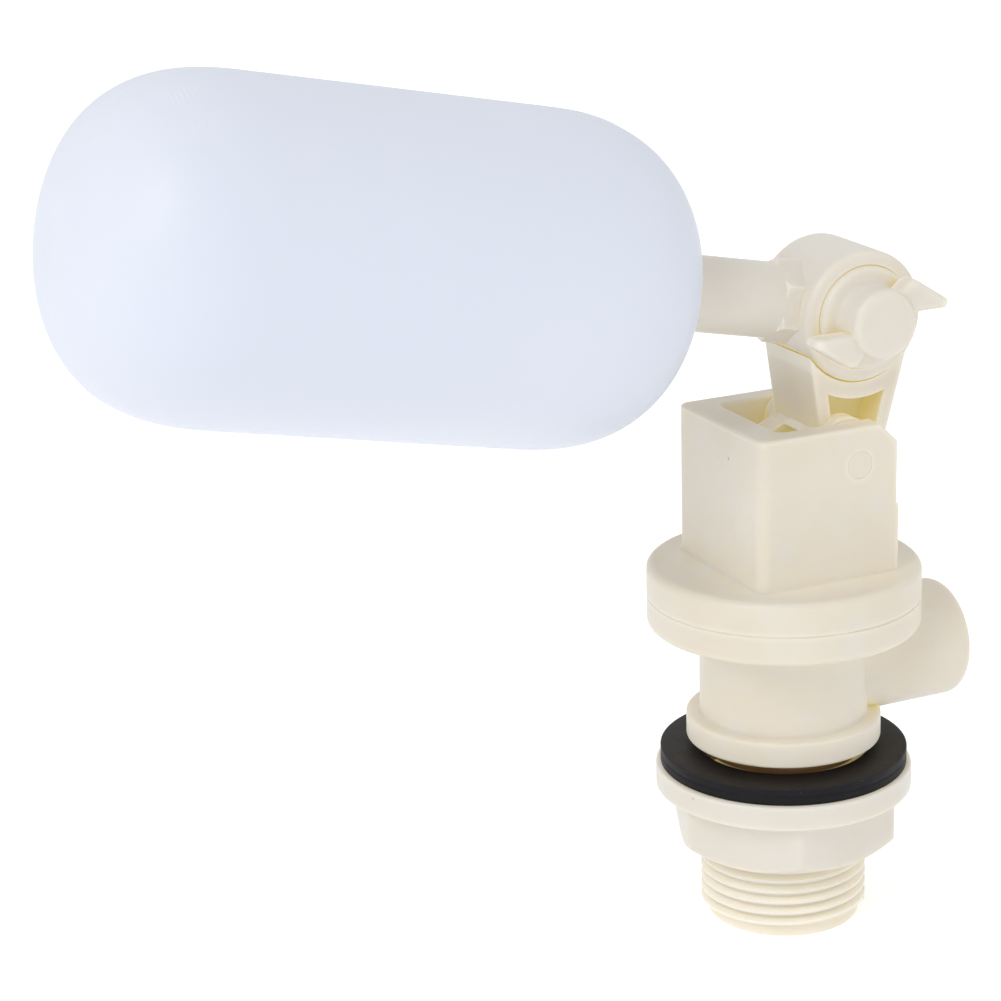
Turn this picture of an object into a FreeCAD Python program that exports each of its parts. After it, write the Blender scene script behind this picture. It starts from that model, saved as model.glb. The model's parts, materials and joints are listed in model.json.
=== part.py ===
import FreeCAD, Part
import math
import os
from FreeCAD import Vector

# Float valve, millimetres. Origin: centre of the inlet mouth, at the foot of the threaded tail.
# +Z runs up the valve's axis, +X points to the side outlet, the float lies towards -X.

# threaded tail: G 3/4 parallel pipe thread
thread_major_r = 13.22
thread_minor_r = 12.06
thread_pitch = 1.814
thread_crest = 0.45
thread_root = 1.55
thread_start_z = 1.5
thread_end_z = 27.8
thread_bite = 0.25
lead_in_cut = 0.2
parting_land_deg = -25.0
parting_land_width = 4.2
parting_land_drop = 0.04
inlet_r = 8.0
inlet_mouth_r = 8.6
inlet_mouth_depth = 12.0
tail_top_z = 30.12

# body above the tail
collar_r = 15.43
collar_top_z = 34.37
collar_round = 0.5
neck_r = 13.31
neck_top_z = 49.12
cap_r = 21.57
seam_z = 54.0
cap_top_z = 59.32
cap_round = 1.2
seam_round = 0.25
outlet_r = 9.44
outlet_bore_r = 7.0
outlet_mouth_r = 7.4
outlet_mouth_x = 16.0
outlet_bore_x = 8.0
outlet_z = 41.5
outlet_end_x = 29.75
outlet_round = 1.8
root_round = 0.5
rim_round = 0.45
edge_round = 0.35
shortest_rounded = 3.0
wing_round = 0.8

# water way
web_bottom_z = 31.0
web_top_z = 34.0
throat_r = 5.0
chamber_r = 10.8
seat_r = 4.5
seat_bottom_z = 28.5
seat_lip_z = 27.7
seat_lip_width = 0.9
seat_lip_foot = 1.3
valve_lift = 2.6

# diaphragm between the cap's halves
diaphragm_r = 15.8
diaphragm_t = 1.2
roll_r = 0.5
roll_offset = 0.2
spigot_in_r = 17.3
spigot_out_r = 18.7
spigot_bottom_z = 51.7
spigot_end_room = 0.2

# fits; "past" is how far a cut runs beyond the face it opens
slack = 0.1
press_gap = 0.02
thread_gap = 0.03
bolt_gap = 0.05
pivot_gap = 0.08
past = 1.0
same = 0.01

# valve disc under the seat
disc_r = 6.6
disc_seal_t = 2.0
disc_t = 2.5
fin_length = 3.5
fin_half_t = 0.6
fin_clearance = 0.3
disc_nut_r = 3.6
disc_nut_t = 2.6

# stem
stem_r = 2.6
stem_neck_r = 2.2
stem_thread_r = 2.0
stem_bottom_z = 16.6
clamp_r = 6.5
clamp_t = 1.2
clamp_round = 0.4
blade_rise = 1.0
eye_half_width = 2.5
eye_half_depth = 2.0
eye_clearance = 0.3

# bonnet and its square lever housing
housing_x0 = -11.7
housing_x1 = 12.5
housing_half_y = 13.1
housing_top_z = 83.3
housing_corner_r = 1.8
mouth_corner_r = 0.5
cavity_corner_r = 1.5
cavity_x0 = -6.5
cavity_x1 = 9.3
cavity_half_y = 9.3
cavity_floor_z = 62.0
sill_z = 70.0
sill_x1 = 12.9
foot_margin = 4.0
shoulder_cut = 3.2
flex_room_r = 11.0
flex_room_top_z = 58.5
guide_boss_r = 5.0
guide_boss_top_z = 66.0

# lever and its pivot
pivot_x = 5.7
pivot_z = 77.3
pin_r = 2.2
lever_half_y = 7.0
fork_drop = 1.26
stem_pin_r = 1.5
stem_pin_end_gap = 0.2
hub_x = 9.36
hub_z = 98.97
cradle_in_r = 10.48
cradle_band = 2.5
lever_left_top = (0.6, 92.9)
lever_left_low = (2.4, 81.2)
lever_knee = (-1.2, 79.6)
lever_toe = (0.2, 73.2)
lever_heel = (9.3, 73.1)
lever_sole_z = 71.9
lever_right_top = (17.45, 91.6)
lever_right_low = (14.2, 80.0)
lever_travel_deg = 25.0
pivot_boss_r = 5.4
fork_r = 3.6
window_rib = 2.3
window_foot_z = 81.2
web_half_y = 1.6
ear_r = 4.0
ear_rise = 2.6
ear_inner_y = 6.4
ear_half_y = 9.0
stem_slot_x0 = -6.0
stem_slot_low_z = 70.0
stem_slot_top_z = 80.7
stem_room = 0.3
tongue_r = 7.8
tongue_half_y = 2.4
neck_half_width = 3.6

# float arm and its clamp
drum_r = 10.18
drum_front_y = -8.1
drum_back_y = 7.0
drum_front_round = 1.0
pocket_r = 8.1
pocket_floor_y = -4.4
slot_r = 8.1
slot_half_y = 2.6
slot_half_deg = 56.0
slot_reach = 14.6
bolt_r = 3.0
bolt_head_r = 5.7
bolt_head_depth = 3.0
bolt_head_sink = 0.2
bolt_end_y = -12.5
washer_r = 7.6
washer_t = 0.5
arm_tilt_deg = 11.8
arm_r = 5.83
arm_collar_r = 6.55
arm_collar_end = 12.8
arm_collar_root = 3.0
arm_collar_chamfer = 0.5
arm_entry = 0.9
spigot_r = 4.2
spigot_end = 46.0

# thumb nut; the wing's outline is in (along, above) from the nut's axis
nut_flange_r = 7.95
nut_flange_back_y = -4.95
nut_flange_front_y = -9.3
nut_flange_round = 0.7
nut_boss_r = 5.4
nut_boss_front_y = -14.5
nut_boss_round = 1.1
nut_boss_root_round = 0.7
wing_outline = [(1.5, 1.1), (13.6, 1.1), (5.3, 6.5), (1.5, 3.1)]
wing_tip_r = 0.85
wing_shoulder_r = 1.5
wing_front_y = -13.7
wing_back_y = -10.4
nut_thread_end_y = -12.6

# float
float_r = 25.21
float_near = 30.17
float_far = 126.83
float_end_depth = 25.3
float_power = 2.56
float_wall = 1.4
socket_r = 6.6
socket_end = 50.0
socket_mouth = 1.0
socket_floor_gap = 0.5
socket_hole_depth = 6.0

# back nut and gasket
nut_af = 33.0
nut_bottom_z = 12.6
nut_flange_z = 21.75
nut_top_z = 25.7
nut_collar_r = 20.36
nut_bore_r = 13.32
nut_turn_deg = 8.0
nut_foot_r = 16.1
nut_cone_slope = 1.22
nut_cone_height = 20.0
nut_corner_round = 0.8
nut_flange_top_round = 0.5
nut_flange_low_round = 0.4
gasket_r = 19.62
gasket_bore_r = 13.6
gasket_top_z = 28.62
gasket_round = 0.25

up = Vector(0, 0, 1)
along_y = Vector(0, 1, 0)
along_x = Vector(1, 0, 0)


def rod(r, z0, z1, x=0.0, y=0.0):
    """A vertical cylinder between two heights."""
    return Part.makeCylinder(r, z1 - z0, Vector(x, y, z0), up)


def rod_y(r, y0, y1, x, z):
    """A cylinder along Y between two depths."""
    return Part.makeCylinder(r, y1 - y0, Vector(x, y0, z), along_y)


def rod_x(r, x0, x1, z):
    """A cylinder along X between two lengths, in the plane y = 0."""
    return Part.makeCylinder(r, x1 - x0, Vector(x0, 0, z), along_x)


def block(x0, x1, y0, y1, z0, z1):
    """A box between two corners."""
    return Part.makeBox(x1 - x0, y1 - y0, z1 - z0, Vector(x0, y0, z0))


def prism_y(points, y0, y1):
    """An outline of (x, z) points carried along Y."""
    ring = [Vector(x, y0, z) for x, z in points]
    face = Part.Face(Part.makePolygon(ring + ring[:1]))
    return face.extrude(Vector(0, y1 - y0, 0))


def hexagon(circum_r, z0, z1, turn_deg):
    """An upright hexagon prism."""
    ring = []
    for side in range(6):
        angle = math.radians(turn_deg + 60.0 * side)
        ring.append(Vector(circum_r * math.cos(angle), circum_r * math.sin(angle), z0))
    face = Part.Face(Part.makePolygon(ring + ring[:1]))
    return face.extrude(Vector(0, 0, z1 - z0))


def turned_profile(points, axis_at=Vector(0, 0, 0)):
    """A solid of revolution about +Z from (radius, height) points."""
    ring = [Vector(axis_at.x + r, axis_at.y, z) for r, z in points]
    face = Part.Face(Part.makePolygon(ring + ring[:1]))
    return face.revolve(axis_at, up, 360)


def round_edges(shape, radius, wanted):
    """Fillets the edges that wanted(edge) picks."""
    edges = [edge for edge in shape.Edges if wanted(edge)]
    return shape.makeFillet(radius, edges)


def circle_at(edge, radius, height):
    """Is this edge a level circle of this radius at this height?"""
    curve = edge.Curve
    if not isinstance(curve, Part.Circle):
        return False
    level = abs(curve.Center.z - height) < same and abs(abs(curve.Axis.z) - 1) < same
    return level and abs(curve.Radius - radius) < same


def on_arm(along, side=0.0, depth=0.0):
    """A point by its distance from the hub along the arm, above the arm's axis, and in depth."""
    tilt = math.radians(arm_tilt_deg)
    x = hub_x - along * math.cos(tilt) + side * math.sin(tilt)
    z = hub_z + along * math.sin(tilt) + side * math.cos(tilt)
    return Vector(x, depth, z)


def arm_direction():
    """The arm's direction from the hub to the float."""
    tilt = math.radians(arm_tilt_deg)
    return Vector(-math.cos(tilt), 0, math.sin(tilt))


def arm_rod(r, start, end):
    """A cylinder on the arm's axis."""
    return Part.makeCylinder(r, end - start, on_arm(start), arm_direction())


def thread_ridge():
    """The helical ridge of the tail's thread, its crest flat and its flanks sloping."""
    helix = Part.makeHelix(thread_pitch, thread_end_z - thread_start_z, thread_minor_r)
    helix.translate(Vector(0, 0, thread_start_z))
    root_x = thread_minor_r - thread_bite
    corners = [
        Vector(root_x, 0, thread_start_z - thread_root / 2),
        Vector(root_x, 0, thread_start_z + thread_root / 2),
        Vector(thread_major_r, 0, thread_start_z + thread_crest / 2),
        Vector(thread_major_r, 0, thread_start_z - thread_crest / 2),
    ]
    outline = Part.makePolygon(corners + corners[:1])
    return Part.Wire(helix).makePipeShell([outline], True, True)


def threaded_tail():
    """The tail's core with its thread, a lead-in cone at the foot and the mould's parting land."""
    tail = rod(thread_minor_r, 0, tail_top_z).fuse(thread_ridge())
    land = block(0, thread_major_r + past, -parting_land_width / 2, parting_land_width / 2,
                 thread_start_z, thread_end_z + past)
    land.rotate(Vector(0, 0, 0), up, parting_land_deg)
    land = land.common(rod(thread_major_r - parting_land_drop, 0, tail_top_z))
    tail = tail.fuse(land)
    foot_r = thread_minor_r - lead_in_cut
    lead_in = Part.makeCone(foot_r, foot_r + tail_top_z, tail_top_z)
    return tail.common(lead_in)


def valve_body():
    """Tail, collar, neck, side outlet and the cap's lower half in one moulding."""
    collar = rod(collar_r, tail_top_z, collar_top_z)
    collar = round_edges(collar, collar_round, lambda e: circle_at(e, collar_r, collar_top_z)
                         or circle_at(e, collar_r, tail_top_z))
    neck = rod(neck_r, collar_top_z - past, neck_top_z + past)
    lower_cap = rod(cap_r, neck_top_z, seam_z)
    lower_cap = round_edges(lower_cap, cap_round, lambda e: circle_at(e, cap_r, neck_top_z))
    lower_cap = round_edges(lower_cap, seam_round, lambda e: circle_at(e, cap_r, seam_z))
    outlet = rod_x(outlet_r, 0, outlet_end_x, outlet_z)
    outlet = outlet.makeFillet(outlet_round, [e for e in outlet.Edges
                                              if abs(e.CenterOfMass.x - outlet_end_x) < same])
    body = collar.fuse([neck, lower_cap])
    body = round_edges(body, root_round, lambda e: circle_at(e, neck_r, collar_top_z)
                       or circle_at(e, neck_r, neck_top_z))
    body = body.fuse(outlet)
    body = body.cut(rod(chamber_r, web_top_z, seam_z + past))
    body = body.cut(rod(throat_r, web_bottom_z - past, web_top_z + past))
    body = body.cut(rod(inlet_r, 0, web_bottom_z))
    body = body.cut(rod_x(outlet_bore_r, outlet_bore_x, outlet_end_x + past, outlet_z))
    body = body.cut(rod_x(outlet_mouth_r, outlet_mouth_x, outlet_end_x + past, outlet_z))
    body = body.cut(rod(diaphragm_r + slack, seam_z - diaphragm_t, seam_z + past))
    groove = rod(spigot_out_r + slack, spigot_bottom_z - spigot_end_room, seam_z + past)
    groove = groove.cut(rod(spigot_in_r - slack, spigot_bottom_z - past, seam_z + 2 * past))
    body = body.cut(groove)
    tail = threaded_tail().cut(rod(inlet_r, -past, web_bottom_z))
    tail = tail.cut(rod(inlet_mouth_r, -past, inlet_mouth_depth))
    return tail.fuse(body).removeSplitter()


def seat_ring():
    """A ring pressed up against the web, with a raised lip around its hole facing down."""
    profile = [
        (seat_r, seat_lip_z), (seat_r + seat_lip_width, seat_lip_z),
        (seat_r + seat_lip_foot, seat_bottom_z),
        (inlet_r, seat_bottom_z), (inlet_r, web_bottom_z), (seat_r, web_bottom_z),
    ]
    return turned_profile(profile)


def seal_top():
    """Height of the disc seal's face with the valve open."""
    return seat_lip_z - valve_lift


def stem():
    """Rod with a threaded foot, a thinner neck through the diaphragm and a flat eye on top."""
    shoulder_z = seam_z - diaphragm_t - clamp_t
    blade_z = guide_boss_top_z + blade_rise
    eye_z = pivot_z - fork_drop
    foot = rod(stem_thread_r, stem_bottom_z, seal_top())
    shank = rod(stem_r, seal_top(), shoulder_z)
    neck = rod(stem_neck_r, shoulder_z, blade_z + past)
    blade = block(-eye_half_width, eye_half_width, -eye_half_depth, eye_half_depth,
                  blade_z, eye_z)
    crown = rod_y(eye_half_width, -eye_half_depth, eye_half_depth, 0, eye_z)
    body = foot.fuse([shank, neck, blade, crown])
    hole = rod_y(stem_pin_r + eye_clearance, -eye_half_depth - past, eye_half_depth + past, 0, eye_z)
    return body.cut(hole).removeSplitter()


def valve_disc():
    """Disc under the seal, with three fins that keep it in the middle of the inlet."""
    top = seal_top() - disc_seal_t
    low = top - disc_t - fin_length
    disc = rod(disc_r, top - disc_t, top)
    for fin in range(3):
        blade = block(disc_nut_r + fin_clearance, inlet_r, -fin_half_t, fin_half_t, low, top)
        blade.rotate(Vector(0, 0, 0), up, 120.0 * fin)
        disc = disc.fuse(blade)
    disc = disc.common(rod(inlet_r - fin_clearance, low, top))
    return disc.cut(rod(stem_thread_r + press_gap, low, top + past)).removeSplitter()


def disc_seal():
    """Flat rubber ring that meets the seat's lip."""
    top = seal_top()
    ring = rod(disc_r, top - disc_seal_t, top)
    return ring.cut(rod(stem_thread_r + press_gap, top - disc_seal_t - past, top + past))


def disc_nut():
    """Hexagon nut under the valve disc."""
    top = seal_top() - disc_seal_t - disc_t
    nut = hexagon(disc_nut_r, top - disc_nut_t, top, 0)
    return nut.cut(rod(stem_thread_r + press_gap, top - disc_nut_t - past, top + past))


def diaphragm():
    """Rubber disc with a shallow roll between its clamped rim and middle."""
    low = seam_z - diaphragm_t
    skin = rod(diaphragm_r, low, seam_z)
    skin = skin.cut(rod(stem_neck_r + press_gap, low - past, seam_z + past))
    mid_r = (clamp_r + chamber_r) / 2 + roll_offset
    roll = Part.makeTorus(mid_r, roll_r, Vector(0, 0, seam_z), up)
    return skin.cut(roll)


def diaphragm_washer():
    """Plate under the diaphragm, on the stem's shoulder."""
    low = seam_z - diaphragm_t - clamp_t
    plate = rod(clamp_r, low, low + clamp_t)
    plate = round_edges(plate, clamp_round, lambda e: circle_at(e, clamp_r, low))
    return plate.cut(rod(stem_neck_r + press_gap, low - past, low + clamp_t + past))


def diaphragm_nut():
    """Threaded plate that clamps the diaphragm's middle from above."""
    plate = rod(clamp_r, seam_z, seam_z + clamp_t)
    plate = round_edges(plate, clamp_round, lambda e: circle_at(e, clamp_r, seam_z + clamp_t))
    return plate.cut(rod(stem_neck_r + press_gap, seam_z - past, seam_z + clamp_t + past))


def housing_rim(edge):
    """Is this edge on the housing's rim or on its cut shoulders?"""
    box = edge.BoundBox
    rim = box.ZMin > housing_top_z - same
    shoulder_z = housing_top_z - shoulder_cut
    shoulder = box.ZMin > shoulder_z - same and box.XMin > housing_x1 - shoulder_cut - same
    return rim or shoulder


def is_upright(edge):
    """Does this edge run along Z?"""
    return abs(edge.tangentAt(edge.FirstParameter).z) > 1 - same


def upright_near(edge, x):
    """Is this an upright edge at this x?"""
    return is_upright(edge) and abs(edge.CenterOfMass.x - x) < same


def housing_shell():
    """The square box on the cap: open above, and open on the outlet side above its sill."""
    box = block(housing_x0, housing_x1, -housing_half_y, housing_half_y,
                cap_top_z - past, housing_top_z)
    box = round_edges(box, housing_corner_r, lambda e: upright_near(e, housing_x0))
    box = round_edges(box, mouth_corner_r, lambda e: upright_near(e, housing_x1))
    sill = block(housing_x1 - 2 * past, sill_x1, -housing_half_y, housing_half_y,
                 cap_top_z - past, sill_z)
    sill = round_edges(sill, mouth_corner_r, lambda e: upright_near(e, sill_x1))
    box = box.fuse(sill)
    room = block(cavity_x0, cavity_x1, -cavity_half_y, cavity_half_y,
                 cavity_floor_z, housing_top_z + past)
    room = round_edges(room, cavity_corner_r, lambda e: upright_near(e, cavity_x0))
    side_mouth = block(cavity_x1 - past, sill_x1 + past, -cavity_half_y, cavity_half_y,
                       sill_z, housing_top_z + past)
    corner = [(housing_x1 + past, housing_top_z + past),
              (housing_x1 + past, housing_top_z - shoulder_cut - past),
              (housing_x1 - shoulder_cut - past, housing_top_z + past)]
    box = box.cut([room, side_mouth, prism_y(corner, -housing_half_y - past, housing_half_y + past)])
    return round_edges(box.removeSplitter(), rim_round, housing_rim)


def housing_foot(edge):
    """Is this edge where the housing's outside meets the top of the cap?"""
    box = edge.BoundBox
    level = abs(box.ZMin - cap_top_z) < same and abs(box.ZMax - cap_top_z) < same
    reach = cap_r - foot_margin
    return level and box.YMax < reach and box.YMin > -reach and box.XMax < reach


def bonnet():
    """The cap's upper half, its spigot, the stem's guide and the lever housing."""
    cap = rod(cap_r, seam_z, cap_top_z)
    cap = round_edges(cap, cap_round, lambda e: circle_at(e, cap_r, cap_top_z))
    cap = round_edges(cap, seam_round, lambda e: circle_at(e, cap_r, seam_z))
    spigot = rod(spigot_out_r, spigot_bottom_z, seam_z + past)
    spigot = spigot.cut(rod(spigot_in_r, spigot_bottom_z - past, seam_z + 2 * past))
    body = cap.fuse(housing_shell()).removeSplitter()
    body = round_edges(body, root_round, housing_foot)
    body = body.fuse(spigot)
    body = body.cut(rod(flex_room_r, seam_z - past, flex_room_top_z))
    body = body.fuse(rod(guide_boss_r, flex_room_top_z + past, guide_boss_top_z))
    body = body.cut(rod(stem_neck_r + slack, seam_z, housing_top_z))
    end_y = housing_half_y + past
    hole = rod_y(pin_r + press_gap, -end_y, end_y, pivot_x, pivot_z)
    return body.cut(hole).removeSplitter()


def pivot_pin():
    """Plain pin, flush with both side walls of the housing."""
    pin = rod_y(pin_r, -housing_half_y, housing_half_y, pivot_x, pivot_z)
    return pin.makeChamfer(slack, [e for e in pin.Edges if isinstance(e.Curve, Part.Circle)])


def slanted_x(z, low, top):
    """Where a straight edge through two (x, z) points stands at height z."""
    return low[0] + (top[0] - low[0]) * (z - low[1]) / (top[1] - low[1])


def left_x(z):
    """The lever's left edge at height z."""
    return slanted_x(z, lever_left_low, lever_left_top)


def right_x(z):
    """The lever's right edge at height z."""
    return slanted_x(z, lever_right_low, lever_right_top)


def lever_plate():
    """The lever's side outline: hub cradle on top, pivot boss below, fork arm to the stem."""
    outline = [(left_x(hub_z), hub_z), lever_left_low, lever_knee, lever_toe,
               (pivot_x - past, lever_sole_z), lever_heel, lever_right_low, lever_right_top,
               (lever_right_top[0], hub_z)]
    plate = prism_y(outline, -lever_half_y, lever_half_y)
    plate = plate.fuse([rod_y(pivot_boss_r, -lever_half_y, lever_half_y, pivot_x, pivot_z),
                        rod_y(fork_r, -lever_half_y, lever_half_y, 0, pivot_z - fork_drop)])
    cradle = rod_y(cradle_in_r, -lever_half_y - past, lever_half_y + past, hub_x, hub_z)
    return plate.cut(cradle).removeSplitter()


def lever_window(y0, y1):
    """The recess on a face of the lever, under the cradle's band."""
    outline = [(left_x(window_foot_z) + window_rib, window_foot_z),
               (right_x(window_foot_z) - window_rib, window_foot_z),
               (right_x(hub_z) - window_rib, hub_z), (left_x(hub_z) + window_rib, hub_z)]
    recess = prism_y(outline, y0, y1)
    return recess.cut(rod_y(cradle_in_r + cradle_band, y0 - past, y1 + past, hub_x, hub_z))


def lever_face_edge(edge):
    """Is this edge one of the long straight edges of the lever's faces or windows?"""
    box = edge.BoundBox
    on_face = abs(box.YMax - box.YMin) < same and abs(abs(box.YMax) - lever_half_y) < same
    return on_face and isinstance(edge.Curve, Part.Line) and edge.Length > shortest_rounded


def stem_slot():
    """Room for the stem's blade at rest and, turned back with the lever, at full travel."""
    depth = eye_half_depth + stem_room
    side = eye_half_width + stem_room
    at_rest = block(stem_slot_x0, side, -depth, depth, stem_slot_low_z, stem_slot_top_z)
    at_end = at_rest.copy()
    at_end.rotate(Vector(pivot_x, 0, pivot_z), along_y, -lever_travel_deg)
    return at_rest.fuse(at_end)


def lever():
    """Cast-flat lever: windows on both faces, ears on the pivot, tongue in the hub."""
    body = lever_plate()
    body = body.cut([lever_window(-lever_half_y - past, -web_half_y),
                     lever_window(web_half_y, lever_half_y + past)]).removeSplitter()
    body = round_edges(body, edge_round, lever_face_edge)
    for side in (-1, 1):
        y0 = min(side * ear_half_y, side * ear_inner_y)
        y1 = max(side * ear_half_y, side * ear_inner_y)
        body = body.fuse([rod_y(ear_r, y0, y1, pivot_x, pivot_z),
                          rod_y(ear_r, y0, y1, pivot_x, pivot_z + ear_rise)])
    tongue = rod_y(tongue_r, -tongue_half_y, tongue_half_y, hub_x, hub_z)
    neck = block(hub_x - neck_half_width, hub_x + neck_half_width,
                 -tongue_half_y, tongue_half_y, hub_z - cradle_in_r - past, hub_z)
    body = body.fuse([tongue, neck])
    pin_y = ear_half_y + past
    return body.cut([
        stem_slot(),
        rod_y(bolt_r + bolt_gap, -tongue_half_y - past, tongue_half_y + past, hub_x, hub_z),
        rod_y(pin_r + pivot_gap, -pin_y, pin_y, pivot_x, pivot_z),
        rod_y(stem_pin_r + press_gap, -pin_y, pin_y, 0, pivot_z - fork_drop),
    ]).removeSplitter()


def stem_pin():
    """Pin across the lever's fork, through the stem's eye."""
    end_y = lever_half_y - stem_pin_end_gap
    return rod_y(stem_pin_r, -end_y, end_y, 0, pivot_z - fork_drop)


def hub_slot():
    """The slot inside the hub: room for the tongue, and for its neck as the arm is set."""
    slot = rod_y(slot_r, -slot_half_y, slot_half_y, hub_x, hub_z)
    points = [(hub_x, hub_z)]
    for step in range(5):
        angle = math.radians(-90 - slot_half_deg + step * slot_half_deg / 2)
        points.append((hub_x + slot_reach * math.cos(angle), hub_z + slot_reach * math.sin(angle)))
    return slot.fuse(prism_y(points, -slot_half_y, slot_half_y))


def hex_on_arm(circum_r, start, end):
    """Hexagon collar on the arm, with flats to the front and back."""
    ring = []
    for side in range(6):
        angle = math.radians(90 + 60.0 * side)
        ring.append(on_arm(start, circum_r * math.sin(angle), circum_r * math.cos(angle)))
    face = Part.Face(Part.makePolygon(ring + ring[:1]))
    return face.extrude(arm_direction() * (end - start))


def hex_head(circum_r, y0, y1):
    """Hexagon on the hub's axis, along Y."""
    ring = []
    for side in range(6):
        angle = math.radians(30 + 60.0 * side)
        ring.append((hub_x + circum_r * math.cos(angle), hub_z + circum_r * math.sin(angle)))
    return prism_y(ring, y0, y1)


def arm_collar():
    """The hexagon collar, its corners cut back by a cone at the float's end."""
    collar = hex_on_arm(arm_collar_r, drum_r - arm_collar_root, arm_collar_end)
    end_r = arm_collar_r - arm_collar_chamfer
    length = arm_collar_end
    cone = Part.makeCone(end_r + length, end_r, length, on_arm(0), arm_direction())
    return collar.common(cone)


def float_arm():
    """Round hub, hexagon collar, round arm and the threaded end inside the float."""
    drum = rod_y(drum_r, drum_front_y, drum_back_y, hub_x, hub_z)
    for y, radius in ((drum_front_y, drum_front_round), (drum_back_y, root_round)):
        drum = drum.makeFillet(radius, [e for e in drum.Edges if isinstance(e.Curve, Part.Circle)
                                        and abs(e.CenterOfMass.y - y) < same])
    tube = arm_rod(arm_r, arm_collar_end - past, float_near + arm_entry)
    spigot = arm_rod(spigot_r, float_near, spigot_end)
    body = drum.fuse([arm_collar(), tube, spigot])
    return body.cut([
        rod_y(pocket_r, drum_front_y - past, pocket_floor_y, hub_x, hub_z),
        hex_head(bolt_head_r + slack, drum_back_y - bolt_head_depth, drum_back_y + past),
        hub_slot(),
        rod_y(bolt_r + bolt_gap, drum_front_y, drum_back_y, hub_x, hub_z),
    ]).removeSplitter()


def clamp_bolt():
    """Hexagon bolt from the back of the hub into the thumb nut."""
    head = hex_head(bolt_head_r, drum_back_y - bolt_head_depth, drum_back_y - bolt_head_sink)
    shank = rod_y(bolt_r, bolt_end_y, drum_back_y - bolt_head_depth, hub_x, hub_z)
    return head.fuse(shank).removeSplitter()


def clamp_washer():
    """Thin washer on the floor of the hub's front pocket."""
    ring = rod_y(washer_r, pocket_floor_y - washer_t, pocket_floor_y, hub_x, hub_z)
    hole = rod_y(bolt_r + bolt_gap, pocket_floor_y - past, pocket_floor_y + past, hub_x, hub_z)
    return ring.cut(hole)


def at_corner(edge, corner):
    """Is this an edge along Y that stands at this (x, z) corner?"""
    middle = edge.CenterOfMass
    return math.hypot(middle.x - corner[0], middle.z - corner[1]) < same


def wing_rim(edge):
    """Is this edge on the wing's front outline, away from its root?"""
    box = edge.BoundBox
    return abs(box.YMax - wing_front_y) < same and box.XMax > wing_outline[0][0] + same


def wing(side):
    """A thumb wing: straight below, sloping from a high shoulder to a round tip above."""
    body = prism_y(wing_outline, wing_front_y, wing_back_y)
    body = round_edges(body, wing_tip_r, lambda e: at_corner(e, wing_outline[1]))
    body = round_edges(body, wing_shoulder_r, lambda e: at_corner(e, wing_outline[2]))
    body = round_edges(body, wing_round, wing_rim)
    body.rotate(Vector(0, 0, 0), along_y, 0 if side > 0 else 180.0)
    body.translate(Vector(hub_x, 0, hub_z))
    return body


def nut_circle(edge, radius, y):
    """Is this edge a circle of this radius at this depth on the hub's axis?"""
    if not isinstance(edge.Curve, Part.Circle):
        return False
    return abs(edge.CenterOfMass.y - y) < same and abs(edge.Curve.Radius - radius) < same


def thumb_nut():
    """Flange, round boss and two wings; the bolt's thread ends inside the boss."""
    flange = rod_y(nut_flange_r, nut_flange_front_y, nut_flange_back_y, hub_x, hub_z)
    body = flange.fuse(rod_y(nut_boss_r, nut_boss_front_y, nut_flange_back_y, hub_x, hub_z))
    body = body.removeSplitter()
    for radius, y, fillet in ((nut_boss_r, nut_boss_front_y, nut_boss_round),
                              (nut_flange_r, nut_flange_front_y, nut_flange_round),
                              (nut_boss_r, nut_flange_front_y, nut_boss_root_round)):
        body = round_edges(body, fillet, lambda e: nut_circle(e, radius, y))
    body = body.fuse([wing(1), wing(-1)])
    return body.cut(rod_y(bolt_r + press_gap, nut_thread_end_y, 0, hub_x, hub_z)).removeSplitter()


def float_radius(along, wall):
    """Radius of the float at a distance along the arm: straight in the middle, superellipse ends."""
    depth = float_end_depth - wall
    near = float_near + wall
    far = float_far - wall
    inward = max(near + depth - along, along - (far - depth), 0.0) / depth
    return (float_r - wall) * max(1.0 - min(inward, 1.0) ** float_power, 0.0) ** (1 / float_power)


def float_solid(wall):
    """The float's outer form, or with a wall, the hollow inside it."""
    near = float_near + wall
    far = float_far - wall
    depth = float_end_depth - wall
    steps = 9
    near_end = []
    for step in range(steps + 1):
        along = near + depth * (1 - math.cos(math.pi / 2 * step / steps))
        near_end.append(on_arm(along, float_radius(along, wall)))
    far_end = []
    for step in range(steps + 1):
        along = far - depth * (1 - math.cos(math.pi / 2 * step / steps))
        far_end.append(on_arm(along, float_radius(along, wall)))
    far_end.reverse()
    near_curve = Part.BSplineCurve()
    near_curve.interpolate(near_end)
    far_curve = Part.BSplineCurve()
    far_curve.interpolate(far_end)
    edges = [near_curve.toShape(), Part.makeLine(near_end[-1], far_end[0]), far_curve.toShape(),
             Part.makeLine(far_end[-1], near_end[0])]
    face = Part.Face(Part.Wire(edges))
    return face.revolve(on_arm(0), arm_direction(), 360)


def float_shell():
    """Blow-moulded float: an even wall, open only where the socket sits."""
    shell = float_solid(0.0).cut(float_solid(float_wall))
    return shell.cut(arm_rod(socket_r, float_near - past, float_near + socket_hole_depth))


def float_socket():
    """Closed threaded cup inside the float that takes the arm's end."""
    cup = arm_rod(socket_r - press_gap, float_near - past, socket_end)
    cup = cup.common(float_solid(0.0))
    cup = cup.cut(arm_rod(arm_r + bolt_gap, float_near - 2 * past, float_near + socket_mouth))
    return cup.cut(arm_rod(spigot_r + thread_gap, float_near, spigot_end + socket_floor_gap))


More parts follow.
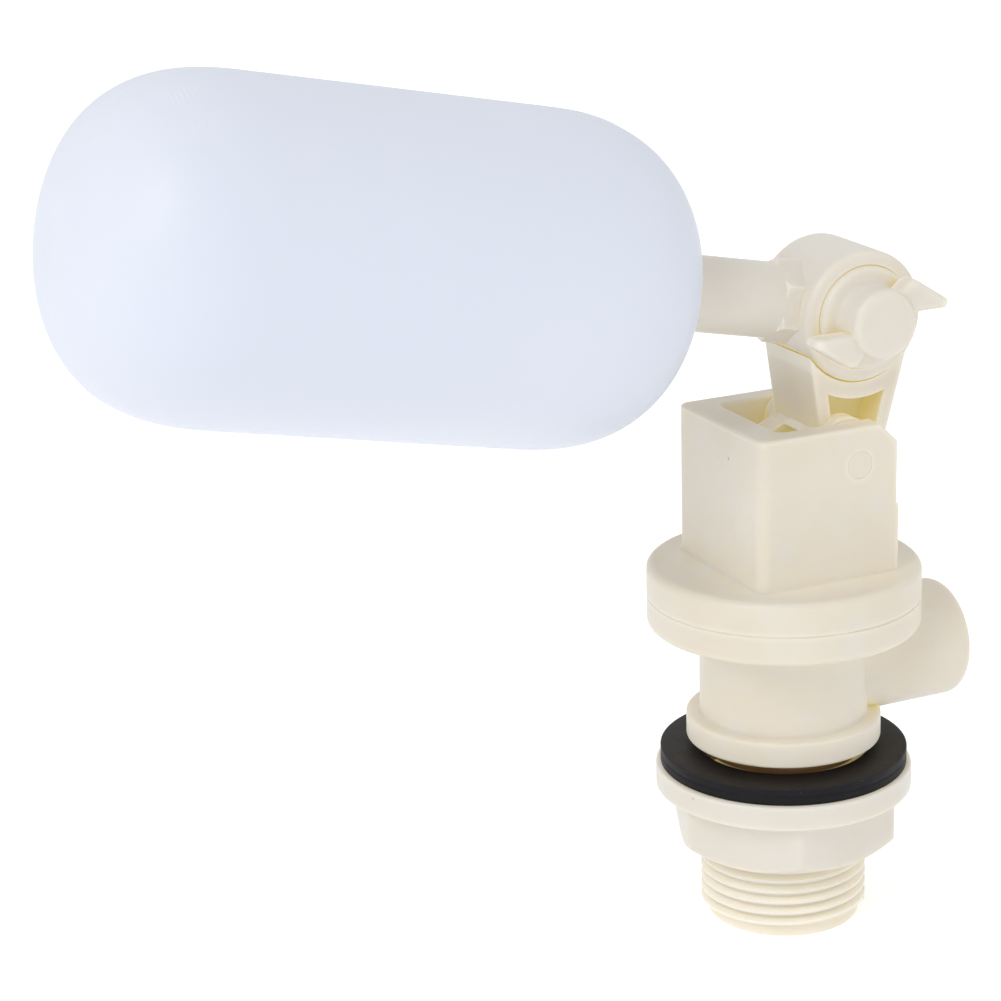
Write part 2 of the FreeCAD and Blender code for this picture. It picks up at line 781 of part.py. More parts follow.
def back_nut():
    """Hexagon nut with a round flange; its foot is coned so the corners are cut back."""
    circum_r = nut_af / 2 / math.cos(math.radians(30))
    hexed = hexagon(circum_r, nut_bottom_z, nut_flange_z + past, nut_turn_deg)
    hexed = round_edges(hexed, nut_corner_round, is_upright)
    cone = Part.makeCone(nut_foot_r, nut_foot_r + nut_cone_slope * nut_cone_height, nut_cone_height,
                         Vector(0, 0, nut_bottom_z), up)
    hexed = hexed.common(cone)
    flange = rod(nut_collar_r, nut_flange_z, nut_top_z)
    flange = round_edges(flange, nut_flange_top_round, lambda e: circle_at(e, nut_collar_r, nut_top_z))
    flange = round_edges(flange, nut_flange_low_round,
                         lambda e: circle_at(e, nut_collar_r, nut_flange_z))
    bore = rod(nut_bore_r, nut_bottom_z - past, nut_top_z + past)
    return hexed.fuse(flange).cut(bore).removeSplitter()


def gasket():
    """Rubber washer with slightly rounded rims."""
    ring = rod(gasket_r, nut_top_z, gasket_top_z)
    ring = round_edges(ring, gasket_round, lambda e: isinstance(e.Curve, Part.Circle))
    return ring.cut(rod(gasket_bore_r, nut_top_z - past, gasket_top_z + past))


makers = [
    valve_body, seat_ring, stem, valve_disc, disc_seal, disc_nut, diaphragm, diaphragm_washer,
    diaphragm_nut, bonnet, pivot_pin, lever, stem_pin, float_arm, clamp_bolt, clamp_washer,
    thumb_nut, float_shell, float_socket, back_nut, gasket,
]

os.makedirs("parts", exist_ok=True)
for make in makers:
    shape = make()
    shape.exportStep("parts/" + make.__name__ + ".step")
    print(make.__name__, "valid", shape.isValid(), "solids", len(shape.Solids),
          "volume", round(shape.Volume, 1))
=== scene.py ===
import json
import math

import bpy
import numpy as np
from mathutils import Matrix, Vector


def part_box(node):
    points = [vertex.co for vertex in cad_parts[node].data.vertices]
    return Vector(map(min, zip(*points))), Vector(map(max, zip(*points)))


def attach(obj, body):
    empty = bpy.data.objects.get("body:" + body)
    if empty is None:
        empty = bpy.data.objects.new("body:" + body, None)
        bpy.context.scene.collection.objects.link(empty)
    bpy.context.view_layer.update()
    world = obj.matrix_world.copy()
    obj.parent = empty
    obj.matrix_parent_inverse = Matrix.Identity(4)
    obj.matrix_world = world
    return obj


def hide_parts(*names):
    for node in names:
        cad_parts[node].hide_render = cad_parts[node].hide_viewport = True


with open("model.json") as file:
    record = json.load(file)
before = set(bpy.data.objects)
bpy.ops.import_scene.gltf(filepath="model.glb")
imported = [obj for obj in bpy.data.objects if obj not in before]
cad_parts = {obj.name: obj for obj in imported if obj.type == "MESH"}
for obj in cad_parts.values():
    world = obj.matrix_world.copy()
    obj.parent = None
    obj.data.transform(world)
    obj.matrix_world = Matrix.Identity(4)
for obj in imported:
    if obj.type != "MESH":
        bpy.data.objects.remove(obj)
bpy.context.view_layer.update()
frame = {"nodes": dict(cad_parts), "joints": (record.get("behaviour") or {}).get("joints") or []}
nodes = frame["nodes"]
print("frame loaded:", len(nodes), "nodes")

mm = 0.001  # lengths below are in millimetres and are turned to metres as meshes are made


class Wire:
    # one output socket; arithmetic on it adds Math nodes to the same tree
    def __init__(self, tree, socket):
        self.tree = tree
        self.socket = socket

    def mathNode(self, operation, first, second):
        return addNode(self.tree, "ShaderNodeMath", {"operation": operation}, {0: first, 1: second})

    def __add__(self, other):
        return self.mathNode("ADD", self, other)

    def __radd__(self, other):
        return self.mathNode("ADD", other, self)

    def __rsub__(self, other):
        return self.mathNode("SUBTRACT", other, self)

    def __mul__(self, other):
        return self.mathNode("MULTIPLY", self, other)

    def __rmul__(self, other):
        return self.mathNode("MULTIPLY", other, self)

    def __pow__(self, other):
        return self.mathNode("POWER", self, other)


def addNode(tree, kind, settings, inputs, out=0):
    # any node: its settings first, then a value or a link for each named socket
    node = tree.nodes.new(kind)
    for key, value in settings.items():
        setattr(node, key, value)
    for key, value in inputs.items():
        if isinstance(value, Wire):
            tree.links.new(value.socket, node.inputs[key])
        else:
            node.inputs[key].default_value = value
    return Wire(tree, node.outputs[out])


def blendColour(tree, factor, first, second):
    # sockets 6 and 7 of a colour Mix node are its two colours, output 2 the result
    return addNode(tree, "ShaderNodeMix", {"data_type": "RGBA", "clamp_factor": True},
                   {0: factor, 6: first, 7: second}, 2)


def window(tree, value, low, high, toLow=0.0, toHigh=1.0):
    # value carried from low..high to toLow..toHigh with smooth ends
    return addNode(tree, "ShaderNodeMapRange", {"interpolation_type": "SMOOTHSTEP"},
                   {0: value, 1: low, 2: high, 3: toLow, 4: toHigh})


def noise(tree, where, scale, detail, rough):
    return addNode(tree, "ShaderNodeTexNoise", {},
                   {"Vector": where, "Scale": scale, "Detail": detail, "Roughness": rough})


def newFinish(name, constants):
    # a material with its Principled shader's own sockets set; returns material, tree, shader
    material = bpy.data.materials.new(name)
    material.use_nodes = True
    tree = material.node_tree
    shader = tree.nodes["Principled BSDF"]
    for key, value in constants.items():
        shader.inputs[key].default_value = value
    return material, tree, shader


def feed(tree, shader, **sockets):
    names = {"colour": "Base Color", "rough": "Roughness", "normal": "Normal",
             "glow": "Emission Color"}
    for key, wire in sockets.items():
        tree.links.new(wire.socket, shader.inputs[names[key]])


def bumped(tree, height, strength, distance):
    return addNode(tree, "ShaderNodeBump", {}, {"Strength": strength, "Distance": distance,
                                                "Height": height})


def objectCoords(tree):
    return addNode(tree, "ShaderNodeTexCoord", {}, {}, 3)


nylonLook = {
    "pale": (0.64, 0.598, 0.515, 1), "warm": (0.625, 0.572, 0.478, 1), "paintedRecessColour": (0.61, 0.53, 0.27, 1),
    "cool": (0.62, 0.60, 0.55, 1), "edge": (0.70, 0.675, 0.62, 1), "speck": (0.30, 0.23, 0.14, 1),
    "paintedGapShadeColour": (0.30, 0.15, 0.06, 1), "glow": (0.20, 0.172, 0.062, 1), "paintedLiftColour": (0.135, 0.122, 0.098, 1),
    "cloudScale": 55.0, "patchScale": 160.0, "speckScale": 310.0, "rareScale": 95.0,
    "grainScale": 900.0, "rippleScale": 120.0, "relief": 0.00025,
    "recessReach": 0.011, "recessFrom": 0.36, "edgeReach": 0.0015,
    "footTop": 0.030, "amberFrom": 0.0280, "amberTo": 0.0302,
}
noGlow = (0, 0, 0, 1)


def creamNylon(name, look, grain=1.0):
    # natural moulded nylon: cloudy cream, a few brown specks; a painted highlight makes it paler along
    # its edges; where walls close in, painted shade turns it honey-yellow and a painted glow lights it
    # faintly, standing in for light through translucent plastic
    material, tree, shader = newFinish(name, {
        "Subsurface Weight": 0.35, "Subsurface Radius": (1.0, 0.78, 0.40), "Subsurface Scale": 0.003,
        "IOR": 1.50, "Specular IOR Level": 0.42, "Emission Strength": 1.0})
    where = objectCoords(tree)
    cloud = noise(tree, where, look["cloudScale"], 3.0, 0.55)
    patch = noise(tree, where, look["patchScale"], 2.0, 0.5)
    base = blendColour(tree, window(tree, cloud, 0.36, 0.66), look["pale"], look["warm"])
    base = blendColour(tree, window(tree, patch, 0.52, 0.72) * 0.55, base, look["cool"])
    openness = addNode(tree, "ShaderNodeAmbientOcclusion", {"samples": 12, "only_local": False},
                       {"Distance": look["recessReach"]}, 1)
    # painted highlight: at convex edges the inward occlusion meets the next face, and there the colour
    # is painted paler
    edgeHighlightAO = addNode(tree, "ShaderNodeAmbientOcclusion",
                    {"samples": 8, "inside": True, "only_local": True},
                    {"Distance": look["edgeReach"]}, 1)
    base = blendColour(tree, window(tree, 1.0 - edgeHighlightAO, 0.12, 0.55) * 0.75, base, look["edge"])
    height = addNode(tree, "ShaderNodeSeparateXYZ", {}, {0: where}, 2)
    # painted shade: spots that the occlusion finds enclosed are painted honey-yellow, less so near the
    # foot where the floor closes in
    aboveFoot = window(tree, height, look["footTop"] * 0.4, look["footTop"], 0.12, 1.0)
    paintedRecessTint = window(tree, 1.0 - openness, look["recessFrom"], 1.0) * aboveFoot
    base = blendColour(tree, paintedRecessTint * 0.95, base, look["paintedRecessColour"])
    # painted glow: faint cream emission in half-enclosed spots and honey-yellow emission in deep
    # recesses
    paintedLiftGlow = blendColour(tree, window(tree, 1.0 - openness, 0.05, 0.55), noGlow, look["paintedLiftColour"])
    glow = blendColour(tree, paintedRecessTint ** 1.5, paintedLiftGlow, look["glow"])
    # painted shade: the tail is painted dark amber in the narrow gap between the gasket and the collar,
    # with no glow there
    paintedGapShade = (window(tree, height, look["amberFrom"] - 0.0004, look["amberFrom"])
             * window(tree, height, look["amberTo"] + 0.0001, look["amberTo"])
             * window(tree, paintedRecessTint, 0.1, 0.4))
    base = blendColour(tree, paintedGapShade, base, look["paintedGapShadeColour"])
    glow = blendColour(tree, paintedGapShade, glow, noGlow)
    dots = addNode(tree, "ShaderNodeTexVoronoi", {"feature": "F1"},
                   {"Vector": where, "Scale": look["speckScale"]})
    rare = noise(tree, where, look["rareScale"], 1.0, 0.5)
    speck = window(tree, dots, 0.10, 0.05) * window(tree, rare, 0.66, 0.72)
    base = blendColour(tree, speck * 0.6, base, look["speck"])
    skin = noise(tree, where, look["grainScale"], 4.0, 0.6)
    ripple = noise(tree, where, look["rippleScale"], 1.0, 0.4)
    rough = 0.33 + 0.10 * cloud + 0.07 * skin
    relief = ripple * 0.75 + skin * (0.25 * grain)
    feed(tree, shader, colour=base, rough=rough, glow=glow,
         normal=bumped(tree, relief, 0.22, look["relief"]))
    return material


floatLook = {
    "pale": (0.60, 0.635, 0.715, 1), "shade": (0.585, 0.62, 0.705, 1), "milk": (0.70, 0.72, 0.77, 1),
    "speck": (0.36, 0.38, 0.46, 1), "cloudScale": 22.0, "wornScale": 60.0, "speckScale": 170.0,
    "rareScale": 70.0, "grainScale": 700.0, "waveScale": 45.0, "relief": 0.0003,
    "arcFrequency": 9000.0, "arcsFrom": 0.008, "arcsTo": 0.017, "arcsFade": 0.003,
}


def blownPlastic(name, look, endPoint, axisWay):
    # blow-moulded polyethylene: cool white, soft clouding, scuffed arcs near the far end
    material, tree, shader = newFinish(name, {
        "Subsurface Weight": 0.15, "Subsurface Radius": (0.8, 0.85, 1.0), "Subsurface Scale": 0.003,
        "IOR": 1.50, "Specular IOR Level": 0.22})
    where = objectCoords(tree)
    cloud = noise(tree, where, look["cloudScale"], 3.0, 0.5)
    base = blendColour(tree, window(tree, cloud, 0.35, 0.65), look["pale"], look["shade"])
    offset = addNode(tree, "ShaderNodeVectorMath", {"operation": "SUBTRACT"},
                     {0: where, 1: endPoint})
    inward = addNode(tree, "ShaderNodeVectorMath", {"operation": "DOT_PRODUCT"},
                     {0: offset, 1: axisWay}, 1)
    rings = addNode(tree, "ShaderNodeMath", {"operation": "SINE"}, {0: inward * look["arcFrequency"]})
    nearEnd = (window(tree, inward, look["arcsFrom"], look["arcsFrom"] + look["arcsFade"])
               * window(tree, inward, look["arcsTo"], look["arcsTo"] - look["arcsFade"]))
    worn = window(tree, noise(tree, where, look["wornScale"], 2.0, 0.5), 0.55, 0.68)
    scuff = window(tree, rings, 0.55, 0.95) * nearEnd * worn
    base = blendColour(tree, scuff * 0.5, base, look["milk"])
    dots = addNode(tree, "ShaderNodeTexVoronoi", {"feature": "F1"},
                   {"Vector": where, "Scale": look["speckScale"]})
    rare = noise(tree, where, look["rareScale"], 1.0, 0.5)
    speck = window(tree, dots, 0.07, 0.035) * window(tree, rare, 0.60, 0.66)
    base = blendColour(tree, speck * 0.45, base, look["speck"])
    skin = noise(tree, where, look["grainScale"], 3.0, 0.6)
    wave = noise(tree, where, look["waveScale"], 1.0, 0.4)
    relief = wave * 0.7 + skin * 0.25 + scuff * 0.4
    rough = 0.34 + 0.12 * cloud + 0.10 * scuff
    feed(tree, shader, colour=base, rough=rough, normal=bumped(tree, relief, 0.16, look["relief"]))
    return material


rubberLook = {"black": (0.004, 0.0038, 0.006, 1), "topBrown": (0.017, 0.0135, 0.011, 1),
              "dust": (0.16, 0.14, 0.12, 1), "mottleScale": 240.0, "gritScale": 1500.0,
              "grainScale": 1100.0, "relief": 0.0002}


def blackRubber(name, look, topZ):
    # pressed rubber: a mottled brown tone on the top face, fine grain, a little dust
    material, tree, shader = newFinish(name, {"IOR": 1.52, "Specular IOR Level": 0.18})
    where = objectCoords(tree)
    height = addNode(tree, "ShaderNodeSeparateXYZ", {}, {0: where}, 2)
    top = window(tree, height, topZ - 0.0004, topZ - 0.0001)
    mottle = noise(tree, where, look["mottleScale"], 3.0, 0.6)
    base = blendColour(tree, top * window(tree, mottle, 0.25, 0.6, 0.55, 1.0), look["black"],
                       look["topBrown"])
    grit = noise(tree, where, look["gritScale"], 2.0, 0.7)
    base = blendColour(tree, window(tree, grit, 0.68, 0.80) * 0.35, base, look["dust"])
    skin = noise(tree, where, look["grainScale"], 4.0, 0.65)
    rough = 0.46 + 0.22 * mottle
    feed(tree, shader, colour=base, rough=rough, normal=bumped(tree, skin, 0.30, look["relief"]))
    return material


metalLook = {"across": 1600.0, "along": 9000.0, "lineScale": 0.35, "smudgeScale": 320.0,
             "relief": 0.00006}


def turnedMetal(name, look, pale, smudged, ringAxis, roughBase):
    # machined metal: fine lines across one axis, and darker smudges
    material, tree, shader = newFinish(name, {"Metallic": 1.0})
    where = objectCoords(tree)
    stretch = [look["across"]] * 3
    stretch[ringAxis] = look["along"]
    stretched = addNode(tree, "ShaderNodeVectorMath", {"operation": "MULTIPLY"},
                        {0: where, 1: stretch})
    lines = noise(tree, stretched, look["lineScale"], 3.0, 0.6)
    smudge = noise(tree, where, look["smudgeScale"], 3.0, 0.6)
    base = blendColour(tree, window(tree, smudge, 0.35, 0.70), pale, smudged)
    rough = roughBase + 0.16 * smudge + 0.10 * lines
    feed(tree, shader, colour=base, rough=rough, normal=bumped(tree, lines, 0.20, look["relief"]))
    return material


def gridObject(name, points, closeAlong=False, sharpDegrees=32.0):
    # points is (rows, columns, 3) in millimetres; columns run round the piece and rows along it;
    # quads join neighbouring points, and an end row whose points coincide becomes one pole
    rows, columns = points.shape[:2]
    flat = points.reshape(-1, 3) * mm
    ids = np.arange(rows * columns).reshape(rows, columns)
    for row in (0, rows - 1):
        if np.ptp(points[row], axis=0).max() < 1e-6:
            ids[row] = ids[row, 0]
    last = rows if closeAlong else rows - 1
    across = np.roll(ids, -1, axis=1)
    up = np.roll(ids, -1, axis=0)
    upAcross = np.roll(across, -1, axis=0)
    quads = np.stack([side[:last] for side in (ids, across, upAcross, up)], axis=-1).reshape(-1, 4)
    used, compact = np.unique(quads, return_inverse=True)
    quads = compact.reshape(quads.shape)
    flat = flat[used]
    faces = [tuple(dict.fromkeys(quad)) for quad in quads.tolist()]
    faces = [face for face in faces if len(face) > 2]
    mesh = bpy.data.meshes.new(name)
    mesh.from_pydata(flat.tolist(), [], faces)
    mesh.update()
    mesh.polygons.foreach_set("use_smooth", np.ones(len(mesh.polygons), bool))
    mesh.set_sharp_from_angle(angle=math.radians(sharpDegrees))
    obj = bpy.data.objects.new(name, mesh)
    bpy.context.scene.collection.objects.link(obj)
    return obj


def outward(obj):
    # turns every face outwards, from the sign of the closed mesh's volume
    mesh = obj.data
    mesh.calc_loop_triangles()
    corners = np.empty(len(mesh.loop_triangles) * 3, int)
    mesh.loop_triangles.foreach_get("vertices", corners)
    places = np.empty(len(mesh.vertices) * 3)
    mesh.vertices.foreach_get("co", places)
    a, b, c = places.reshape(-1, 3)[corners.reshape(-1, 3)].transpose(1, 0, 2)
    if np.einsum("ij,ij->i", a, np.cross(b, c)).sum() < 0:
        mesh.flip_normals()
    return obj


def arc(centre, radius, fromDeg, toDeg, count):
    # points of a round stretch of an outline
    angle = np.radians(np.linspace(fromDeg, toDeg, count))
    return np.stack([centre[0] + radius * np.cos(angle), centre[1] + radius * np.sin(angle)], 1)


def onBody(obj, material, body, slotName, *standsFor):
    # a piece's finish, the body it rides on, its slot name, which is not used, and the CAD nodes that
    # it stands for
    obj.data.materials.append(material)
    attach(obj, body)
    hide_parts(*standsFor)


# the hub's centre and the arm's direction, from the float's joint
joints = {joint["name"]: joint for joint in frame["joints"]}
hub = np.array(joints["float_turn"]["pos_m"]) / mm
armWay = np.array(joints["float_turn"]["axis"])

floatSet = {
    "radius": 25.21, "near": 30.17, "far": 126.83, "endDepth": 25.3, "power": 2.56,
    "mouth": 5.93, "socket": 4.25, "socketFloor": 50.6, "shoulder": 31.2, "lip": 0.5,
    "seamHeight": 0.10, "seamWidth": 0.35, "seamFrom": 2.0, "seamEnd": 3.0,
    "dimple": 0.35, "dimpleWidth": 5.0, "dimpleReach": 8.0,
    "endRows": 56, "middleRows": 24, "columns": 180, "seamColumns": 14, "seamAngle": 0.06,
}

farEnd = Vector((hub + armWay * floatSet["far"]) * mm)
cream = creamNylon("creamNylon", nylonLook)
creamSoft = creamNylon("creamNylonSoft", {**nylonLook, "pale": (0.63, 0.60, 0.545, 1),
                                          "warm": (0.615, 0.575, 0.51, 1)}, 0.7)
# the pin gets no painted edge highlight: its edge colour is its pale colour
creamPin = creamNylon("creamNylonPin", {**nylonLook, "edge": nylonLook["pale"]})
blown = blownPlastic("blownPolyethylene", floatLook, tuple(farEnd), tuple(-armWay))
rubber = blackRubber("pressedRubber", rubberLook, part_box("gasket")[1][2])
steel = turnedMetal("drawnSteel", metalLook, (0.60, 0.60, 0.61, 1), (0.45, 0.45, 0.47, 1), 1, 0.24)
brass = turnedMetal("turnedBrass", metalLook, (0.78, 0.58, 0.27, 1), (0.60, 0.42, 0.18, 1), 2, 0.26)

finishes = [
    (cream, ["valve_body", "bonnet", "lever", "valve_disc"]),
    (creamPin, ["pivot_pin"]),
    (creamSoft, ["float_arm", "thumb_nut", "back_nut"]),
    (blown, ["float_socket", "float_shell"]),
    (rubber, ["diaphragm", "disc_seal", "gasket"]),
    (steel, ["stem", "stem_pin", "clamp_bolt", "clamp_washer"]),
    (brass, ["seat_ring", "disc_nut", "diaphragm_washer", "diaphragm_nut"]),
]
for material, names in finishes:
    for name in names:
        for materialSlot in nodes[name].material_slots:
            materialSlot.material = material
print("finishes assigned")


def floatOutline(s):
    # from the socket's floor out to the mouth, round its lip, and along r = R (1 - u^p)^(1/p)
    # at both ends, u being the share of the end's depth
    turn = np.linspace(0, np.pi / 2, s["endRows"])
    nearAlong = s["near"] + s["endDepth"] * (1 - np.cos(turn))
    share = np.clip((s["near"] + s["endDepth"] - nearAlong) / s["endDepth"], 0, 1)
    nearRadius = s["radius"] * (1 - share ** s["power"]) ** (1 / s["power"])
    keep = nearRadius > s["mouth"] + s["lip"]
    near = np.stack([nearRadius[keep], nearAlong[keep]], 1)
    lip = arc((s["mouth"] + s["lip"], near[0, 1] + s["lip"]), s["lip"], 180, 262, 6)
    start = np.array([[0, s["socketFloor"]], [s["socket"], s["socketFloor"]],
                      [s["socket"], s["shoulder"]], [s["mouth"], s["shoulder"]]])
    middle = np.linspace(s["near"] + s["endDepth"], s["far"] - s["endDepth"], s["middleRows"] + 2)[1:-1]
    straight = np.stack([np.full(s["middleRows"], s["radius"]), middle], 1)
    far = np.stack([nearRadius, s["far"] - (nearAlong - s["near"])], 1)[::-1]
    far[-1, 0] = 0.0
    return np.concatenate([start, lip, near, straight, far])


def makeFloat(s):
    # the outline turned about the arm's axis; the mould seam is a low Gaussian ridge above and
    # below, and the far end has a shallow Gaussian dimple where the mould pinched it off
    outline = floatOutline(s)
    even = np.linspace(0, 2 * np.pi, s["columns"], endpoint=False)
    fine = np.linspace(-s["seamAngle"], s["seamAngle"], s["seamColumns"])
    around = np.unique(np.round(np.concatenate([even, fine % (2 * np.pi), fine + np.pi]), 6))
    plain, along = outline[:, :1], outline[:, 1:]
    skinFrom = s["mouth"] + s["seamFrom"]
    offSeam = np.abs(np.sin(around))[None, :] * plain
    seam = s["seamHeight"] * np.exp(-(offSeam / s["seamWidth"]) ** 2)
    seam = seam * (plain > skinFrom) * (along < s["far"] - s["seamEnd"])
    seam[offSeam > 4 * s["seamWidth"]] = 0
    radius = np.where(plain > skinFrom, plain - s["seamHeight"] + seam, plain)
    dimple = s["dimple"] * np.exp(-(radius / s["dimpleWidth"]) ** 2)
    along = along - dimple * (along > s["far"] - s["dimpleReach"])
    side = np.array([armWay[2], 0.0, -armWay[0]])
    depth = np.array([0.0, 1.0, 0.0])
    way = np.cos(around)[:, None] * side + np.sin(around)[:, None] * depth
    points = hub + along[..., None] * armWay + radius[..., None] * way[None]
    return outward(gridObject("floatSkin", points))


onBody(makeFloat(floatSet), blown, "float", "float_plastic", "float_shell", "float_socket")
print("float done")

gasketLow, gasketHigh = [np.array(corner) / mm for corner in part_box("gasket")]
gasketSet = {"outer": gasketHigh[0], "bore": 13.6, "low": gasketLow[2], "high": gasketHigh[2],
             "round": 0.28, "seamDepth": 0.14, "seamWidth": 0.22, "faceInset": 1.5,
             "rimRows": 17, "faceRows": 5, "columns": 240}


def makeGasket(s):
    # a rounded rectangle turned about Z; the rim carries a shallow Gaussian seam at mid height
    r, outer, bore = s["round"], s["outer"], s["bore"]
    rim = np.linspace(s["low"] + r, s["high"] - r, s["rimRows"])
    middle = (s["low"] + s["high"]) / 2
    seam = s["seamDepth"] * np.exp(-((rim - middle) / s["seamWidth"]) ** 2)
    outline = np.concatenate([
        arc((outer - r, s["low"] + r), r, -90, 0, 5), np.stack([outer - seam, rim], 1),
        arc((outer - r, s["high"] - r), r, 0, 90, 5),
        np.stack([np.linspace(outer - s["faceInset"], bore + s["faceInset"], s["faceRows"]),
                  np.full(s["faceRows"], s["high"])], 1),
        arc((bore + r / 2, s["high"] - r / 2), r / 2, 90, 180, 4),
        arc((bore + r / 2, s["low"] + r / 2), r / 2, 180, 270, 4)])
    around = np.linspace(0, 2 * np.pi, s["columns"], endpoint=False)
    way = np.stack([np.cos(around), np.sin(around)], 1)
    flat = outline[:, None, 0, None] * way[None]
    height = np.broadcast_to(outline[:, 1][:, None, None], flat.shape[:2] + (1,))
    return outward(gridObject("gasketRing", np.concatenate([flat, height], 2), closeAlong=True))


onBody(makeGasket(gasketSet), rubber, "seal_washer", "black_rubber", "gasket")
print("gasket done")

nutLow, nutHigh = [np.array(corner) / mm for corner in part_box("back_nut")]
nutSet = {
    "acrossFlats": 33.0, "foot": 16.1, "coneSlope": 1.22, "low": nutLow[2], "flangeLow": 21.75,
    "high": nutHigh[2], "flange": nutHigh[0], "turnDeg": 8.0, "cornerPower": 46.0,
    "bore": 13.32, "pitch": 1.814, "threadDepth": 0.95, "edge": 0.4, "lead": 1.0, "leadShare": 0.6,
    "footRound": [(-0.1, 0.06), (0.15, 0.3)], "coneShares": (0.5, 0.92), "brow": (-0.03, 0.08),
    "wallInset": 0.2, "wallFrom": 0.25, "wallRows": 7, "wallFlare": 0.25,
    "boreInset": 0.3, "boreRows": 84, "flankSteepness": 2.6, "rootFlat": 0.15, "runOut": 0.8,
    "columns": 360,
}


def makeBackNut(s):
    # hexagon: r = apothem (sum of max(0, cos(a - ak))^p)^(-1/p), so a higher power gives tighter
    # corners; its foot is cut by a cone; the bore carries a helical groove of the thread's pitch
    around = np.linspace(0, 2 * np.pi, s["columns"], endpoint=False)
    facing = np.radians(s["turnDeg"] + 30 + 60 * np.arange(6))
    lean = np.maximum(0, np.cos(around[:, None] - facing)) ** s["cornerPower"]
    hexagon = s["acrossFlats"] / 2 * lean.sum(1) ** (-1 / s["cornerPower"])
    cut = s["low"] + (hexagon - s["foot"]) / s["coneSlope"]
    e = s["edge"]
    rows = []

    def addRow(radius, height):
        rows.append(np.broadcast_arrays(radius, height, around)[:2])

    addRow(s["bore"] + s["lead"], s["low"])
    addRow(s["foot"] - e, s["low"])
    for spread, rise in s["footRound"]:
        addRow(s["foot"] + spread, s["low"] + rise)
    for share in s["coneShares"]:
        addRow(s["foot"] + (hexagon - s["foot"]) * share, s["low"] + (cut - s["low"]) * share)
    addRow(hexagon + s["brow"][0], cut + s["brow"][1])
    for share in np.linspace(s["wallFrom"], 1.0, s["wallRows"]):
        addRow(hexagon, cut + s["wallInset"] + (s["flangeLow"] - cut - 2 * s["wallInset"]) * share)
    addRow(hexagon + s["wallFlare"], s["flangeLow"])
    for radius, height in np.concatenate([
            arc((s["flange"] - e, s["flangeLow"] + e), e, -90, 0, 5),
            arc((s["flange"] - e, s["high"] - e), e, 0, 90, 5)]):
        addRow(radius, height)
    addRow(s["bore"] + s["lead"], s["high"])
    for height in np.linspace(s["high"] - s["boreInset"], s["low"] + s["boreInset"], s["boreRows"]):
        phase = (height / s["pitch"] - around / (2 * np.pi)) % 1.0
        tooth = np.clip(s["flankSteepness"] * np.abs(phase - 0.5) - s["rootFlat"], 0, 1)
        fade = np.clip(min(s["high"] - height, height - s["low"]) / s["runOut"], 0, 1)
        widen = s["lead"] * (1 - fade) * s["leadShare"]
        addRow(s["bore"] + s["threadDepth"] * (1 - tooth) * fade + widen, height)
    radius = np.array([row[0] for row in rows])
    height = np.array([row[1] for row in rows])
    points = np.stack([radius * np.cos(around), radius * np.sin(around), height], 2)
    return outward(gridObject("flangedNut", points, closeAlong=True, sharpDegrees=38))


onBody(makeBackNut(nutSet), creamSoft, "nut", "cream_plastic", "back_nut")
print("back nut done")

# floor, light and camera
stageSet = {
    "floorSize": 12.0, "floorColour": (0.95, 0.95, 0.95, 1), "floorGlow": 0.24, "world": 0.90,
    "key": {"energy": 3.3, "size": 0.5, "place": (-0.68, -0.38, 0.72), "tint": (1.0, 0.985, 0.96),
            "spread": 180.0},
    "fill": {"energy": 0.5, "size": 0.6, "place": (0.6, -0.45, 0.35), "tint": (0.96, 0.98, 1.0),
             "spread": 180.0},
    "aim": (-0.03, 0.0, 0.08),
}


def paleFloor(name, colour, paintedLiftColour):
    material, tree, shader = newFinish(name, {"Specular IOR Level": 0.2, "Emission Strength": paintedLiftColour,
                                              "Emission Color": (1, 1, 1, 1)})
    where = objectCoords(tree)
    grain = noise(tree, where, 30.0, 3.0, 0.5)
    paler = tuple(min(1.0, c * 1.015) for c in colour[:3]) + (1,)
    feed(tree, shader, colour=blendColour(tree, grain, colour, paler), rough=0.6 + 0.1 * grain)
    return material


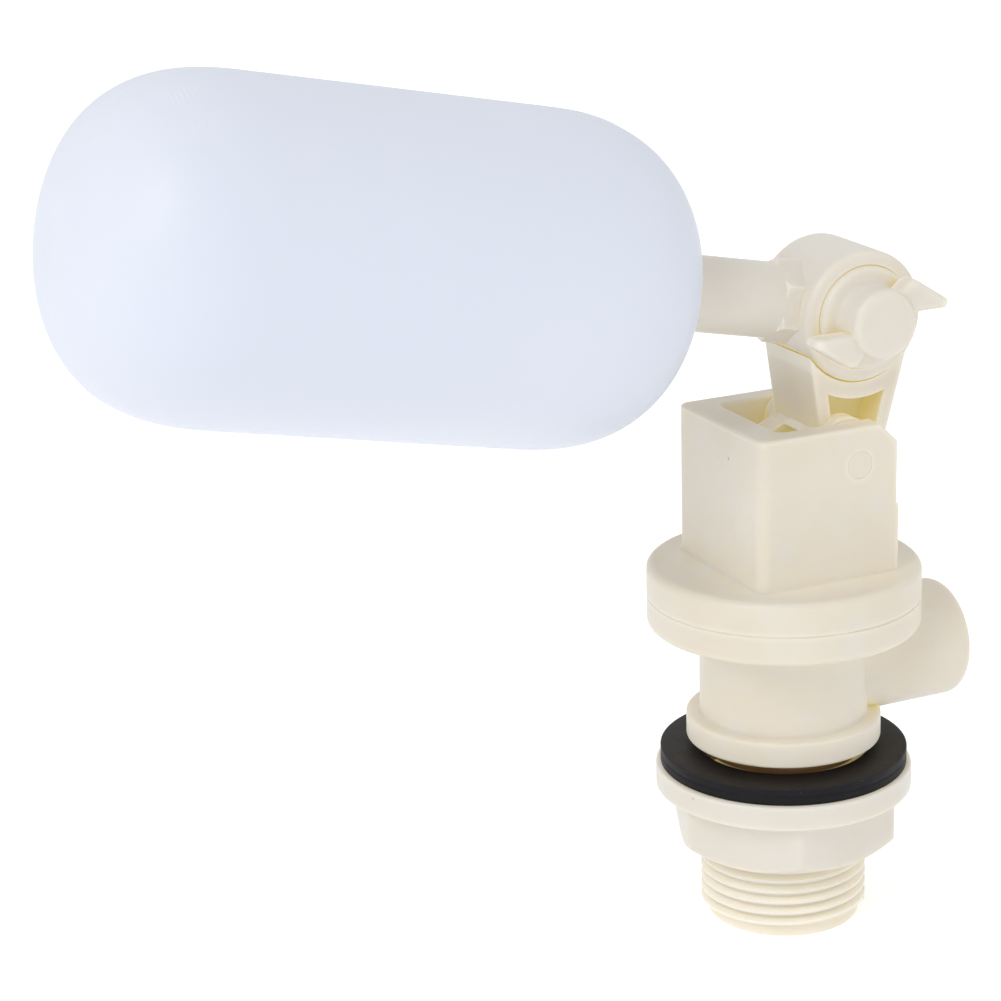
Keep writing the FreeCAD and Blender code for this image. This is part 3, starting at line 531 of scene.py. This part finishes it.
def makeFloor(s):
    half = s["floorSize"] / 2
    mesh = bpy.data.meshes.new("floor")
    mesh.from_pydata([(-half, -half, 0), (half, -half, 0), (half, half, 0), (-half, half, 0)], [],
                     [(0, 1, 2, 3)])
    mesh.materials.append(paleFloor("paleFloor", s["floorColour"], s["floorGlow"]))
    floor = bpy.data.objects.new("floor", mesh)
    bpy.context.scene.collection.objects.link(floor)


def makeLight(name, s, aim):
    lamp = bpy.data.lights.new(name, "AREA")
    lamp.energy = s["energy"]
    lamp.size = s["size"]
    lamp.color = s["tint"]
    lamp.spread = math.radians(s["spread"])
    obj = bpy.data.objects.new(name, lamp)
    obj.location = s["place"]
    obj.rotation_euler = (Vector(aim) - Vector(s["place"])).to_track_quat("-Z", "Y").to_euler()
    bpy.context.scene.collection.objects.link(obj)


def makeWorld(strength):
    world = bpy.data.worlds.new("softWhite")
    world.use_nodes = True
    background = world.node_tree.nodes["Background"]
    background.inputs["Color"].default_value = (1, 1, 1, 1)
    background.inputs["Strength"].default_value = strength
    bpy.context.scene.world = world


cameraSet = {"aim": (-0.04005, 0.01863, 0.07024), "azimuth": 24.95, "rise": 17.60, "roll": -1.573,
             "distance": 0.4697, "lens": 108.35, "sensor": 36.0}


def makeCamera(s):
    # the camera stands at aim + distance (-sin a cos e, -cos a cos e, sin e)
    a, e = math.radians(s["azimuth"]), math.radians(s["rise"])
    back = Vector((-math.sin(a) * math.cos(e), -math.cos(a) * math.cos(e), math.sin(e)))
    right = Vector((math.cos(a), -math.sin(a), 0))
    turn = Matrix((right, back.cross(right), back)).transposed().to_4x4()
    roll = Matrix.Rotation(math.radians(s["roll"]), 4, "Z")
    camera = bpy.data.objects.new("camera", bpy.data.cameras.new("camera"))
    camera.data.lens = s["lens"]
    camera.data.sensor_width = s["sensor"]
    camera.data.clip_start = 0.01
    camera.matrix_world = Matrix.Translation(Vector(s["aim"]) + s["distance"] * back) @ turn @ roll
    bpy.context.scene.collection.objects.link(camera)
    bpy.context.scene.camera = camera


makeFloor(stageSet)
makeLight("keyLight", stageSet["key"], stageSet["aim"])
makeLight("fillLight", stageSet["fill"], stageSet["aim"])
makeWorld(stageSet["world"])
makeCamera(cameraSet)
bpy.context.scene.view_settings.view_transform = "Standard"
print("stage done")
